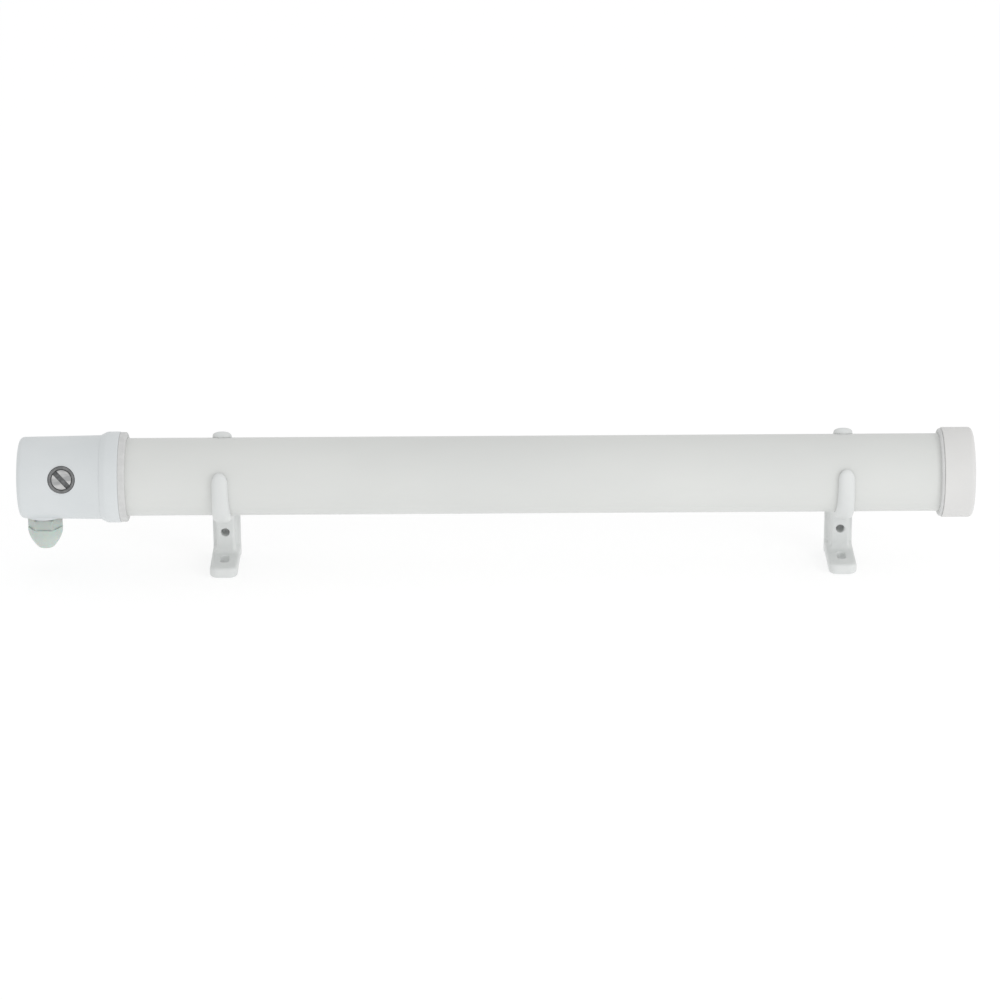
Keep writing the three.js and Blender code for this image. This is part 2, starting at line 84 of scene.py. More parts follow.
SURROUND_STRENGTH = 0.84
surround = bpy.data.worlds.new("soft_surround")
surround.use_nodes = True
surround.node_tree.nodes["Background"].inputs["Color"].default_value = (1, 1, 1, 1)
surround.node_tree.nodes["Background"].inputs["Strength"].default_value = SURROUND_STRENGTH
bpy.context.scene.world = surround


def softbox(name, place, size, power):
    """A square area light at a point, facing the middle of the heater."""
    light = bpy.data.lights.new(name, "AREA")
    light.size = size
    light.energy = power
    lamp = bpy.data.objects.new(name, light)
    bpy.context.scene.collection.objects.link(lamp)
    facing = (Vector((0, 0, AXIS_Z * MM)) - Vector(place)).to_track_quat("-Z", "Y")
    lamp.matrix_world = Matrix.LocRotScale(Vector(place), facing, None)


softbox("softbox_right", place=(1.2, -1.15, 0.55), size=0.7, power=5.0)
softbox("softbox_front", place=(-0.5, -2.9, 1.0), size=1.8, power=1.5)

FLOOR_HALF = 9
FLOOR_TONE, FLOOR_GLOW = 0.45, 0.62
floor_corners = [(x * FLOOR_HALF, y * FLOOR_HALF, 0) for x, y in ((-1, -1), (1, -1), (1, 1), (-1, 1))]
floor_mesh = bpy.data.meshes.new("floor")
floor_mesh.from_pydata(floor_corners, [], [(0, 1, 2, 3)])
floor = bpy.data.objects.new("floor", floor_mesh)
bpy.context.scene.collection.objects.link(floor)
floor_finish = bpy.data.materials.new("pale_floor")
floor_finish.use_nodes = True
floor_shader = floor_finish.node_tree.nodes["Principled BSDF"]
floor_shader.inputs["Base Color"].default_value = (FLOOR_TONE, FLOOR_TONE, FLOOR_TONE, 1)
floor_shader.inputs["Roughness"].default_value = 1.0
floor_shader.inputs["Specular IOR Level"].default_value = 0.0
floor_shader.inputs["Emission Color"].default_value = (1, 1, 1, 1)
floor_shader.inputs["Emission Strength"].default_value = FLOOR_GLOW
floor_mesh.materials.append(floor_finish)


# ------------------------------------------------------------ Heater tube
# A drawn aluminium tube, 50 mm across with a thin wall, powder coated white after cutting. It is plain
# from end to end: its two ends are hidden in the moulded housing and cap, each held on by a rear screw.

ROD = (np.array([0, 0, AXIS_Z]), np.eye(3))  # a seat: where a turned shape's axis starts and its directions
TUBE_R = (tube_high.z - tube_low.z) / 2 / MM
TUBE_WALL = 1.2
TUBE_BORE_R = TUBE_R - TUBE_WALL
MERGE_WITHIN = 1e-7  # points closer than this, in metres, are made one


def arc(centre_x, centre_r, radius, start, end, count=8):
    """Points of a round stretch of a profile: centre plus radius times cosine and sine of each angle."""
    angle = np.radians(np.linspace(start, end, count))
    return np.stack([centre_x + radius * np.cos(angle), centre_r + radius * np.sin(angle)], 1).tolist()


def add_piece(name, points, faces, where=ROD, sharp=32):
    """A mesh from whole arrays, in millimetres in a seat: a point in the frame is the seat's origin plus its
    axes times the local point. Doubled points are merged, and the faces are made to point outwards."""
    origin, axes = where
    placed = (points @ axes.T + origin) * MM
    mesh = bpy.data.meshes.new(name)
    mesh.vertices.add(len(placed))
    mesh.vertices.foreach_set("co", placed.astype(np.float32).ravel())
    mesh.loops.add(faces.size)
    mesh.loops.foreach_set("vertex_index", faces.astype(np.int32).ravel())
    mesh.polygons.add(len(faces))
    mesh.polygons.foreach_set("loop_start", np.arange(0, faces.size, faces.shape[1], dtype=np.int32))
    mesh.update(calc_edges=True)
    tidy = bmesh.new()
    tidy.from_mesh(mesh)
    bmesh.ops.remove_doubles(tidy, verts=tidy.verts, dist=MERGE_WITHIN)
    bmesh.ops.recalc_face_normals(tidy, faces=tidy.faces)
    tidy.to_mesh(mesh)
    tidy.free()
    mesh.shade_smooth()
    mesh.set_sharp_from_angle(angle=math.radians(sharp))
    piece = bpy.data.objects.new(name, mesh)
    bpy.context.scene.collection.objects.link(piece)
    return piece


def turned(name, profile, where=ROD, around=192, closed=False, flats=None, sharp=32):
    """A turned shape: each [x, r] of the profile goes once round the seat's x axis, at y = r cos a and
    z = r sin a. With flats = (how many, distance from the axis), r is no more than the flats' distance
    over the cosine of the angle from the nearest flat's middle, which makes a nut with rounded corners.
    The first flat's middle is on the seat's z axis. A closed profile is a ring."""
    profile = np.array(profile, float)
    angle = np.arange(around) * 2 * np.pi / around
    radius = np.repeat(profile[:, 1:], around, axis=1)
    if flats:
        count, distance = flats
        from_flat = (angle - np.pi / 2 + np.pi / count) % (2 * np.pi / count) - np.pi / count
        radius = np.minimum(radius, distance / np.cos(from_flat))
    x = np.repeat(profile[:, :1], around, axis=1)
    points = np.stack([x, radius * np.cos(angle), radius * np.sin(angle)], -1).reshape(-1, 3)
    rows = len(profile)
    i = np.arange(rows if closed else rows - 1)[:, None] + np.zeros(around, int)
    j = np.arange(around) + np.zeros((len(i), 1), int)
    after_i, after_j = (i + 1) % rows, (j + 1) % around
    corners = [i * around + j, i * around + after_j, after_i * around + after_j, after_i * around + j]
    return add_piece(name, points, np.stack(corners, -1).reshape(-1, 4), where, sharp)


def material(name, **values):
    """A new material, with plain values set on its shader's own sockets."""
    made = bpy.data.materials.new(name)
    made.use_nodes = True
    shader = made.node_tree.nodes["Principled BSDF"]
    for socket, value in values.items():
        shader.inputs[socket.replace("_", " ")].default_value = value
    return made


def speckle(made, scale, detail=3, stretch=(1, 1, 1)):
    """A noise on Object coordinates, with features about 1 / scale metres across, drawn out by stretch."""
    nodes, links = made.node_tree.nodes, made.node_tree.links
    place = nodes.new("ShaderNodeTexCoord")
    mapping = nodes.new("ShaderNodeMapping")
    mapping.inputs["Scale"].default_value = stretch
    noise = nodes.new("ShaderNodeTexNoise")
    noise.inputs["Scale"].default_value = scale
    noise.inputs["Detail"].default_value = detail
    links.new(place.outputs["Object"], mapping.inputs["Vector"])
    links.new(mapping.outputs["Vector"], noise.inputs["Vector"])
    return noise.outputs["Fac"]


def ramp(made, texture, stops):
    """A texture's value turned into colours, by (position, colour) stops."""
    node = made.node_tree.nodes.new("ShaderNodeValToRGB")
    made.node_tree.links.new(texture, node.inputs["Fac"])
    elements = node.color_ramp.elements
    while len(elements) < len(stops):
        elements.new(0.5)
    for element, (position, colour) in zip(elements, stops):
        element.position = position
        element.color = (*colour, 1)
    return node.outputs["Color"]


def tint(made, texture, low, high, start=0.35, end=0.65):
    """The shader's colour runs from low to high as the texture goes from start to end."""
    shader = made.node_tree.nodes["Principled BSDF"]
    made.node_tree.links.new(ramp(made, texture, [(start, low), (end, high)]), shader.inputs["Base Color"])


def gloss(made, texture, low, high):
    """The shader's roughness runs from low to high as the texture goes from 0.3 to 0.7."""
    nodes, links = made.node_tree.nodes, made.node_tree.links
    node = nodes.new("ShaderNodeMapRange")
    node.inputs["From Min"].default_value = 0.3
    node.inputs["From Max"].default_value = 0.7
    node.inputs["To Min"].default_value = low
    node.inputs["To Max"].default_value = high
    links.new(texture, node.inputs["Value"])
    links.new(node.outputs["Result"], nodes["Principled BSDF"].inputs["Roughness"])


def relief(made, *layers):
    """Bumps laid over each other: each layer is a texture and the depth of its relief in metres."""
    nodes, links = made.node_tree.nodes, made.node_tree.links
    below = None
    for texture, depth in layers:
        bump = nodes.new("ShaderNodeBump")
        bump.inputs["Distance"].default_value = depth
        links.new(texture, bump.inputs["Height"])
        if below:
            links.new(below, bump.inputs["Normal"])
        below = bump.outputs["Normal"]
    links.new(below, nodes["Principled BSDF"].inputs["Normal"])


def fit(piece, finish, body, slot, *nodes):
    """The piece gets its finish, rides on its body and stands for its CAD nodes."""
    piece.data.materials.clear()
    piece.data.materials.append(finish)
    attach(piece, body)
    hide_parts(*nodes)


enamel = material("white_enamel", IOR=1.42, Specular_IOR_Level=0.3, Coat_Weight=0.04, Coat_Roughness=0.28)
cloud = speckle(enamel, 14, 4, (0.5, 1, 1))
tint(enamel, cloud, (0.673, 0.684, 0.670), (0.704, 0.714, 0.697))
gloss(enamel, speckle(enamel, 320, 4), 0.33, 0.45)
orange_peel = speckle(enamel, 950, 2)
drawing_lines = speckle(enamel, 420, 2, (0.02, 1, 1))
relief(enamel, (orange_peel, 0.00003), (drawing_lines, 0.00002))

TUBE_EDGE = 0.3
RING_INSET, RING_COUNT = 20, 24  # rings of points along the tube, the outer two this far from its ends
tube_start, tube_end = tube_low.x / MM, tube_high.x / MM
tube = turned("enamelled_tube", [
    [tube_start, TUBE_BORE_R],
    [tube_start, TUBE_R - TUBE_EDGE],
    [tube_start + TUBE_EDGE, TUBE_R],
    *[[x, TUBE_R] for x in np.linspace(tube_start + RING_INSET, tube_end - RING_INSET, RING_COUNT)],
    [tube_end - TUBE_EDGE, TUBE_R],
    [tube_end, TUBE_R - TUBE_EDGE],
    [tube_end, TUBE_BORE_R],
], around=256, closed=True)
fit(tube, enamel, "heater", "white_enamel", "heater_tube")


# ------------------------------------------------------------ Terminal housing
# A deep cup, injection moulded in a faintly bluish white plastic. It tapers a little towards its closed
# end, and a cone leads up to a collar that sleeves over the tube. The adjuster's window is in its front,
# leaning up by 16 degrees, and a round flat for the gland is sunk in its underside.

housing_low, housing_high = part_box("terminal_housing")
HOUSING_END = housing_low.x / MM
COLLAR_MOUTH = housing_high.x / MM
COLLAR_R = 29.25
COLLAR_START = COLLAR_MOUTH - 8.0
CONE_START = COLLAR_MOUTH - 12.2
HOUSING_END_R, HOUSING_BODY_R = 26.2, 27.0
HOUSING_CORNER = 3.4
END_RING_R = 12  # a ring of points part way out on each flat end
RIM_EDGE = 0.6
SOCKET_R = TUBE_R + 0.35
SOCKET_END_GAP = 0.3
REBATE_R, REBATE_DEPTH = 27.0, 1.2
SHELL_WALL = 2.4
LEAN = math.radians(16)
ADJUSTER_X = -276.6
WINDOW_R = 8.8
GLAND_X = -291.0
GLAND_SEAT, GLAND_SEAT_R = 24.4, 12.0
GLAND_INNER_SEAT = 20.4
GLAND_BOSS_OUTER, GLAND_BOSS_R = GLAND_SEAT + 0.6, GLAND_SEAT_R + 0.7
GLAND_HOLE_R = 8.3
THROUGH_SHELL = (15, 35)  # distances from the rod's axis, one inside the shell and one outside it
HOUSING_SCREW_X, CAP_SCREW_X = -246.4, 291.6
SCREW_HEAD_SEAT, SCREW_RECESS_R = 27.2, 3.6
SCREW_HOLE_END, SCREW_HOLE_R, SCREW_CUT_TOP = 18, 1.8, 34


def seat(x, outward):
    """A seat on the rod's axis at x: its own x axis points outward, and its y axis runs along the rod."""
    outward = np.array(outward, float)
    along = np.array([1.0, 0, 0])
    return np.array([x, 0, AXIS_Z]), np.stack([outward, along, np.cross(outward, along)], 1)


FRONT = (0, -math.cos(LEAN), math.sin(LEAN))
REAR = (0, math.cos(LEAN), -math.sin(LEAN))
DOWN = (0, 0, -1)
ADJUSTER_SEAT = seat(ADJUSTER_X, FRONT)
GLAND_LINE = seat(GLAND_X, DOWN)


def joined(piece, other, operation):
    """The piece after other is cut from it (DIFFERENCE) or grown into it (UNION); other is used up."""
    modifier = piece.modifiers.new("joined", "BOOLEAN")
    modifier.operation = operation
    modifier.object = other
    modifier.solver = "EXACT"
    apply_modifiers(piece)
    bpy.data.objects.remove(other)


def apply_modifiers(piece):
    """The piece's mesh as its modifiers leave it."""
    evaluated = piece.evaluated_get(bpy.context.evaluated_depsgraph_get())
    finished = bpy.data.meshes.new_from_object(evaluated)
    piece.modifiers.clear()
    piece.data = finished


def plug_shape(start, end, radius, where, around=96):
    """A plain round bar between two distances from the rod's axis, for cutting holes."""
    return turned("cutter", [[start, 0], [start, radius], [end, radius], [end, 0]], where, around)


def screw_way(piece, x):
    """The rear screw's hole and the wider recess that its head sits in, cut in an end at x."""
    where = seat(x, REAR)
    joined(piece, plug_shape(SCREW_HOLE_END, SCREW_CUT_TOP, SCREW_HOLE_R, where, 48), "DIFFERENCE")
    joined(piece, plug_shape(SCREW_HEAD_SEAT, SCREW_CUT_TOP, SCREW_RECESS_R, where, 64), "DIFFERENCE")


def softened(piece, width, segments=2, sharp=34):
    """The piece with its sharp edges rounded by width millimetres, as a mould leaves them."""
    bevel = piece.modifiers.new("softened", "BEVEL")
    bevel.width = width * MM
    bevel.segments = segments
    bevel.limit_method = "ANGLE"
    bevel.angle_limit = math.radians(38)
    bevel.use_clamp_overlap = True
    apply_modifiers(piece)
    piece.data.shade_smooth()
    piece.data.set_sharp_from_angle(angle=math.radians(sharp))


def moulded(name, low, high, roughness=(0.36, 0.46), grain=0.000012, **values):
    """A satin moulded plastic: a faint cloud of tone, fine spark-eroded grain and long soft sink marks."""
    made = material(name, IOR=1.42, **values)
    tint(made, speckle(made, 30, 3), low, high)
    gloss(made, speckle(made, 500, 3), *roughness)
    relief(made, (speckle(made, 2600, 2), grain), (speckle(made, 60, 1), 0.00006))
    return made


housing_plastic = moulded("housing_plastic", (0.666, 0.695, 0.706), (0.690, 0.717, 0.727))

housing = turned("terminal_housing_shell", [
    [HOUSING_END, 0],
    [HOUSING_END, END_RING_R],
    *arc(HOUSING_END + HOUSING_CORNER, HOUSING_END_R - HOUSING_CORNER, HOUSING_CORNER, 180, 90, 12),
    [CONE_START - 22, (HOUSING_END_R + HOUSING_BODY_R) / 2],  # half way along the taper
    [CONE_START - 0.2, HOUSING_BODY_R],  # a small soft step where the cone starts
    [CONE_START, HOUSING_BODY_R + 0.08],
    [CONE_START + 0.25, HOUSING_BODY_R + 0.45],
    [CONE_START + 0.6, HOUSING_BODY_R + 0.6],
    [COLLAR_START - 1.2, COLLAR_R - 0.42],  # the cone eases into the collar
    [COLLAR_START - 0.4, COLLAR_R - 0.15],
    [COLLAR_START + 0.6, COLLAR_R],
    *arc(COLLAR_MOUTH - RIM_EDGE, COLLAR_R - RIM_EDGE, RIM_EDGE, 90, 0, 6),
    [COLLAR_MOUTH, REBATE_R],
    [COLLAR_MOUTH - REBATE_DEPTH, REBATE_R],
    [COLLAR_MOUTH - REBATE_DEPTH, SOCKET_R],
    [tube_start - SOCKET_END_GAP, SOCKET_R],
    [tube_start - SOCKET_END_GAP, TUBE_BORE_R],
    [HOUSING_END + SHELL_WALL, TUBE_BORE_R],
    [HOUSING_END + SHELL_WALL, 0],
], around=224)
joined(housing, plug_shape(GLAND_INNER_SEAT, GLAND_BOSS_OUTER, GLAND_BOSS_R, GLAND_LINE), "UNION")
joined(housing, plug_shape(GLAND_SEAT, THROUGH_SHELL[1], GLAND_SEAT_R, GLAND_LINE), "DIFFERENCE")
joined(housing, plug_shape(*THROUGH_SHELL, GLAND_HOLE_R, GLAND_LINE), "DIFFERENCE")
joined(housing, plug_shape(*THROUGH_SHELL, WINDOW_R, ADJUSTER_SEAT), "DIFFERENCE")
screw_way(housing, HOUSING_SCREW_X)
softened(housing, 0.3)
fit(housing, housing_plastic, "heater", "housing_plastic", "terminal_housing")


# ------------------------------------------------------------ Plain end cap
# The other end's cup, moulded in a slightly warmer white and held by a rear screw like the housing. It has
# a small radius round its flat end, a crisp rim, and a rebate for its seal.

CAP_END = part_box("end_cap")[1].x / MM
CAP_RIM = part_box("end_cap")[0].x / MM
CAP_R = 28.95
CAP_CORNER = 2.6
cap_plastic = moulded("cap_plastic", (0.680, 0.677, 0.668), (0.705, 0.702, 0.692))
cap = turned("end_cap_shell", [
    [CAP_END - SHELL_WALL, 0],
    [CAP_END - SHELL_WALL, TUBE_BORE_R],
    [tube_end + SOCKET_END_GAP, TUBE_BORE_R],
    [tube_end + SOCKET_END_GAP, SOCKET_R],
    [CAP_RIM + REBATE_DEPTH, SOCKET_R],
    [CAP_RIM + REBATE_DEPTH, REBATE_R],
    [CAP_RIM, REBATE_R],
    *arc(CAP_RIM + RIM_EDGE, CAP_R - RIM_EDGE, RIM_EDGE, 180, 90, 6),
    *arc(CAP_END - CAP_CORNER, CAP_R - CAP_CORNER, CAP_CORNER, 90, 0, 12),
    [CAP_END, END_RING_R],
    [CAP_END, 0],
], around=224)
screw_way(cap, CAP_SCREW_X)
softened(cap, 0.25)
fit(cap, cap_plastic, "heater", "cap_plastic", "end_cap")


# ------------------------------------------------------------ Mouth seals
# Two soft light grey rings on the tube, one in each mouth. A short spigot sits in the mouth's rebate, and
# a rounded head stands out of it and closes the step between the tube and the thicker end.

seal_rubber = material("seal_rubber", IOR=1.45)
tint(seal_rubber, speckle(seal_rubber, 220, 3), (0.605, 0.610, 0.605), (0.655, 0.660, 0.655))
gloss(seal_rubber, speckle(seal_rubber, 800, 2), 0.6, 0.75)
relief(seal_rubber, (speckle(seal_rubber, 1800, 2), 0.00002))
SEAL_GAP, SEAL_TOUCH, SEAL_NOSE = 0.3, 0.06, 1.2
for end, mouth, way, head_r, head in (
        ("housing", COLLAR_MOUTH, 1, COLLAR_R - 0.4, 4.1),
        ("end_cap", CAP_RIM, -1, CAP_R - 0.8, 1.7)):
    seal = turned(f"{end}_mouth_seal", [
        [mouth + way * x, r] for x, r in [
            [SEAL_GAP - REBATE_DEPTH, SOCKET_R],
            [SEAL_GAP - REBATE_DEPTH, REBATE_R - SEAL_GAP],
            [SEAL_TOUCH, REBATE_R - SEAL_GAP],
            [SEAL_TOUCH, head_r - 0.2],
            [0.2, head_r],
            *arc(SEAL_GAP + head - SEAL_NOSE, head_r - SEAL_NOSE, SEAL_NOSE, 90, 8, 8),
            [SEAL_GAP + head, head_r - 1.8],
            [SEAL_GAP + head, TUBE_R + 0.2],
            [0.2 + head, TUBE_R + SEAL_TOUCH],
            [SEAL_GAP - REBATE_DEPTH, TUBE_R + SEAL_TOUCH],
        ]], around=224, closed=True)
    fit(seal, seal_rubber, "heater", "seal_rubber", f"{end}_seal")


# ------------------------------------------------------------ Thermostat adjuster and its ring
# A plated disc with a screwdriver slot, on a spindle that reaches down to the thermostat. The slot's inside
# is painted darker and duller than the disc: painted shade. A dark rubber ring seals the disc in the
# housing's window.

DISC_R, DISC_FACE, DISC_BACK = 6.4, 26.1, 23.4
SPINDLE_R, SPINDLE_END = 3.0, 15.5
SLOT_HALF_WIDTH, SLOT_DEPTH = 1.6, 2.0
SLOT_CUT_HALF, SLOT_CUT_RISE = 9, 2  # how far the slot's cutter goes past the disc, along it and above it
SLOT_TURN = math.radians(-43)
RING_FACE, RING_BACK = 26.35, 24.0
RING_R, RING_HOLE_R = 8.5, 6.7

disc_metal = material("turned_plate", Metallic=0.85, IOR=2.2)
brushing = speckle(disc_metal, 260, 2, (0.35, 1, 1))
tint(disc_metal, brushing, (0.38, 0.385, 0.385), (0.60, 0.60, 0.595), 0.4, 0.62)
gloss(disc_metal, speckle(disc_metal, 260, 3), 0.3, 0.5)
relief(disc_metal, (speckle(disc_metal, 2200, 2, (0.06, 1, 1)), 0.00002))
# Painted shade: the slot's floor and walls get a darker, less metallic finish than the disc, standing for
# the shade inside the slot.
painted_shade_slot_metal = material("dull_slot_painted_shade", Metallic=0.4, IOR=1.6)
tint(painted_shade_slot_metal, speckle(painted_shade_slot_metal, 600, 3), (0.165, 0.169, 0.172), (0.255, 0.260, 0.263))
gloss(painted_shade_slot_metal, speckle(painted_shade_slot_metal, 900, 2), 0.5, 0.7)
relief(painted_shade_slot_metal, (speckle(painted_shade_slot_metal, 2400, 2), 0.00002))
disc = turned("adjuster_disc", [
    [SPINDLE_END, 0],
    [SPINDLE_END, SPINDLE_R - 0.3],
    [SPINDLE_END + 0.3, SPINDLE_R],
    [DISC_BACK, SPINDLE_R],
    [DISC_BACK, DISC_R - 0.15],
    [DISC_BACK + 0.15, DISC_R],
    *arc(DISC_FACE - 0.45, DISC_R - 0.35, 0.35, 90, 0, 6),
    [DISC_FACE - 0.06, 4.2],
    [DISC_FACE, 0],
], ADJUSTER_SEAT, 96)


def bar(low, high, where, turn=0.0):
    """A plain block between two corners, turned about its seat's x axis, for cutting slots."""
    corners = np.array([[x, y, z] for x in (low[0], high[0])
                        for y in (low[1], high[1]) for z in (low[2], high[2])])
    c, s = math.cos(turn), math.sin(turn)
    corners = corners @ np.array([[1, 0, 0], [0, c, s], [0, -s, c]])
    faces = np.array([[0, 1, 3, 2], [4, 6, 7, 5], [0, 4, 5, 1], [2, 3, 7, 6], [0, 2, 6, 4], [1, 5, 7, 3]])
    return add_piece("cutter", corners, faces, where)


joined(disc, bar((DISC_FACE - SLOT_DEPTH, -SLOT_HALF_WIDTH, -SLOT_CUT_HALF),
                 (DISC_FACE + SLOT_CUT_RISE, SLOT_HALF_WIDTH, SLOT_CUT_HALF),
                 ADJUSTER_SEAT, -SLOT_TURN), "DIFFERENCE")
softened(disc, 0.12)
fit(disc, disc_metal, "adjuster", "adjuster_metal", "thermostat_adjuster")
# The faces inside the slot take the second, darker finish: painted shade in the slot.
disc.data.materials.append(painted_shade_slot_metal)
for face in disc.data.polygons:
    past = np.array(face.center) / MM - ADJUSTER_SEAT[0]
    out, along, up = past @ ADJUSTER_SEAT[1]
    across = along * math.cos(SLOT_TURN) - up * math.sin(SLOT_TURN)
    if DISC_FACE - SLOT_DEPTH - 0.1 < out < DISC_FACE - 0.2 and abs(across) < SLOT_HALF_WIDTH + 0.05:
        face.material_index = 1

rubber = material("dark_rubber", IOR=1.5)
tint(rubber, speckle(rubber, 300, 3), (0.145, 0.148, 0.150), (0.212, 0.215, 0.217))
gloss(rubber, speckle(rubber, 900, 2), 0.6, 0.8)
relief(rubber, (speckle(rubber, 1800, 2), 0.00002))
ring = turned("adjuster_ring", [
    [RING_BACK, RING_HOLE_R],
    [RING_BACK, RING_R],
    [RING_FACE - 0.5, RING_R],
    *arc(RING_FACE - 0.5, (RING_R + RING_HOLE_R) / 2, (RING_R - RING_HOLE_R) / 2, 90, -90, 12),
], ADJUSTER_SEAT, 96, closed=True)
fit(ring, rubber, "heater", "dark_rubber", "adjuster_seal_ring")


# ------------------------------------------------------------ Cable gland
# A nylon gland screwed down through the housing's seat: a sealing washer, a hexagon body, a rubber insert
# and a domed nut that squeezes the insert on the cable. The nylon is unpigmented, so it looks greyer than
# the housing.

GLAND_WASHER, GLAND_WASHER_R = (24.7, 25.9), 10.8
BODY_TOP, BODY_DEPTH, BODY_FLAT, BODY_CORNER_R = 26.2, 6.7, 9.7, 11.3
THREAD_R, STUB_R, GLAND_BORE_R = 8.0, 7.6, 5.0
NUT_TOP, NUT_R, NUT_FLAT, DOME_BEND, DOME_TIP = 32.95, 11.2, 10.7, 34.6, 46.7
NUT_BORE_R, DOME_TIP_R = 7.9, 5.2
STUB_END, THREAD_END = 38.6, 16.5
INSERT_R, INSERT_BORE_R, INSERT_END = 5.5, 3.5, 44


def gland_nylon(name, low, high):
    """Unpigmented nylon: a satin moulded plastic that lets a little light through."""
    return moulded(name, low, high, (0.34, 0.44), 0.00001, Subsurface_Weight=0.25, Subsurface_Scale=0.002)


nylon = gland_nylon("gland_nylon", (0.495, 0.562, 0.528), (0.538, 0.600, 0.566))
washer = turned("gland_sealing_washer", [
    [GLAND_WASHER[0], GLAND_HOLE_R],
    [GLAND_WASHER[0], GLAND_WASHER_R - 0.2],
    [GLAND_WASHER[0] + 0.3, GLAND_WASHER_R],
    [GLAND_WASHER[1] - 0.3, GLAND_WASHER_R],
    [GLAND_WASHER[1], GLAND_WASHER_R - 0.2],
    [GLAND_WASHER[1], GLAND_HOLE_R],
], GLAND_LINE, 96, closed=True)
fit(washer, rubber, "heater", "dark_rubber", "gland_washer")

hexagon = turned("gland_hexagon_body", [
    [THREAD_END, GLAND_BORE_R],
    [THREAD_END, THREAD_R - 0.5],
    [THREAD_END + 0.5, THREAD_R],
    [BODY_TOP, THREAD_R],
    [BODY_TOP, 10.2],
    [BODY_TOP + 0.7, BODY_CORNER_R],
    [BODY_TOP + BODY_DEPTH - 0.3, BODY_CORNER_R],
    [BODY_TOP + BODY_DEPTH, 10.9],
    [BODY_TOP + BODY_DEPTH, STUB_R],
    [STUB_END, STUB_R],
    [STUB_END, GLAND_BORE_R],
], GLAND_LINE, 192, closed=True, flats=(6, BODY_FLAT))
# The hexagon body uses the same nylon painted a little darker than the nut's: painted shade for the
# housing's shadow on the top of the gland.
painted_shade_nylon = gland_nylon("gland_body_nylon_painted_shade", (0.462, 0.511, 0.482), (0.505, 0.554, 0.522))
fit(hexagon, painted_shade_nylon, "heater", "gland_nylon", "gland_body")

dome = turned("gland_domed_nut", [
    [NUT_TOP, NUT_BORE_R],
    [NUT_TOP, NUT_R - 0.3],
    [NUT_TOP + 0.3, NUT_R],
    # the dome: its radius falls with the 1.8th power of the share of its length
    *[[DOME_BEND + (DOME_TIP - 0.4 - DOME_BEND) * t, NUT_R - 5.6 * t**1.8] for t in np.linspace(0, 1, 18)],
    [DOME_TIP, DOME_TIP_R],
    [DOME_TIP, 4.6],
    [DOME_TIP - 0.4, 4.4],
    [42.5, 7],
    [40, NUT_BORE_R],
], GLAND_LINE, 192, closed=True, flats=(6, NUT_FLAT))
fit(dome, nylon, "heater", "gland_nylon", "gland_dome_nut")

insert = turned("gland_rubber_insert", [
    [STUB_END + 0.3, INSERT_BORE_R],
    [STUB_END + 0.3, INSERT_R],
    [43.4, INSERT_R],
    [INSERT_END, 5.0],
    [INSERT_END, 3.7],
    [43.7, INSERT_BORE_R],
], GLAND_LINE, 96, closed=True)
fit(insert, rubber, "heater", "dark_rubber", "gland_seal_insert")


# ------------------------------------------------------------ Clip brackets
# One white moulding, used twice. A crowned C-clip springs round the tube; behind it a flat back plate lies
# on the wall, and a foot turns forward at the bottom. A raised pad down the plate's middle carries the wall
# screw's hole and runs out into the clip above and the foot below; the foot has a slot for a floor screw.

BACK_PLANE = 30.0
BRACKET_HALF = 9.0
FOOT_FRONT, FOOT_THICKNESS = -17.0, 7.0
FOOT_TOP = FOOT_THICKNESS - AXIS_Z
CLIP_HALF, TIP_HALF, CLIP_OUTER, CLIP_EDGE = 6.4, 5.2, 30.0, 26.0
CLIP_BORE_R = TUBE_R + 0.04
CROWN_SQUARENESS, CROWN_FULLNESS, CLIP_SIDE_EDGE = 2.4, 0.62, 1.0
FINGER_TOP, ARM_TOP = math.radians(24), math.radians(101)
FINGER_ROUND, ARM_ROUND, TIP_EDGE = 8.0, 4.5, 3.2
NARROW_FROM, NARROW_OVER = -1.5, 1.7  # where the finger starts to narrow, and over what angle, in radians
ARM_THINNING, THIN_OVER = 1.5, 0.7
PAD_HALF, PAD_FRONT, PLATE_FRONT, PLATE_TOP = 5.8, 12.0, 26.0, 8.0
PLATE_EDGE, PAD_EDGE, SPINE_EDGE, FOOT_EDGE, BORE_EDGE, HOLE_EDGE = 0.9, 1.4, 1.5, 2.2, 0.15, 0.8
FOOT_CORNER, BACK_CORNER = 5.5, 1.0
THROAT_FILLET, SPINE_FILLET, FOOT_FILLET = 17.0, 4.5, 2.0
FIXING_HOLE_R = 2.75
WALL_HOLE_Z = -43.0
SLOT_MIDDLE_Y, SLOT_REACH = 0.75, 3.5
HOLE_REGION = 6  # how far in front of the pad the wall hole is cut, and how far above the foot the slot is
SKIN_STEP, SKIN_MARGIN, SKIN_PASSES = 0.42, 1, 3


def meet(a, b, blend):
    """The smaller of two distances, less a quarter of blend where they are equal: a filleted joint."""
    near = np.maximum(blend - np.abs(a - b), 0) / blend
    return np.minimum(a, b) - near * near * blend / 4


def trim(a, b, blend):
    """The larger of two distances, more by a quarter of blend where they are equal: a rounded edge."""
    return -meet(-a, -b, blend)


def block(x, y, z, low, high, edge):
    """Distance to a block with rounded edges: how far a point is past the block's core, less the edge's
    radius."""
    past = [np.abs(p - (a + b) / 2) - (b - a) / 2 + edge for p, a, b in zip((x, y, z), low, high)]
    outside = np.sqrt(sum(np.maximum(q, 0) ** 2 for q in past))
    return outside + np.minimum(np.maximum(np.maximum(past[0], past[1]), past[2]), 0) - edge


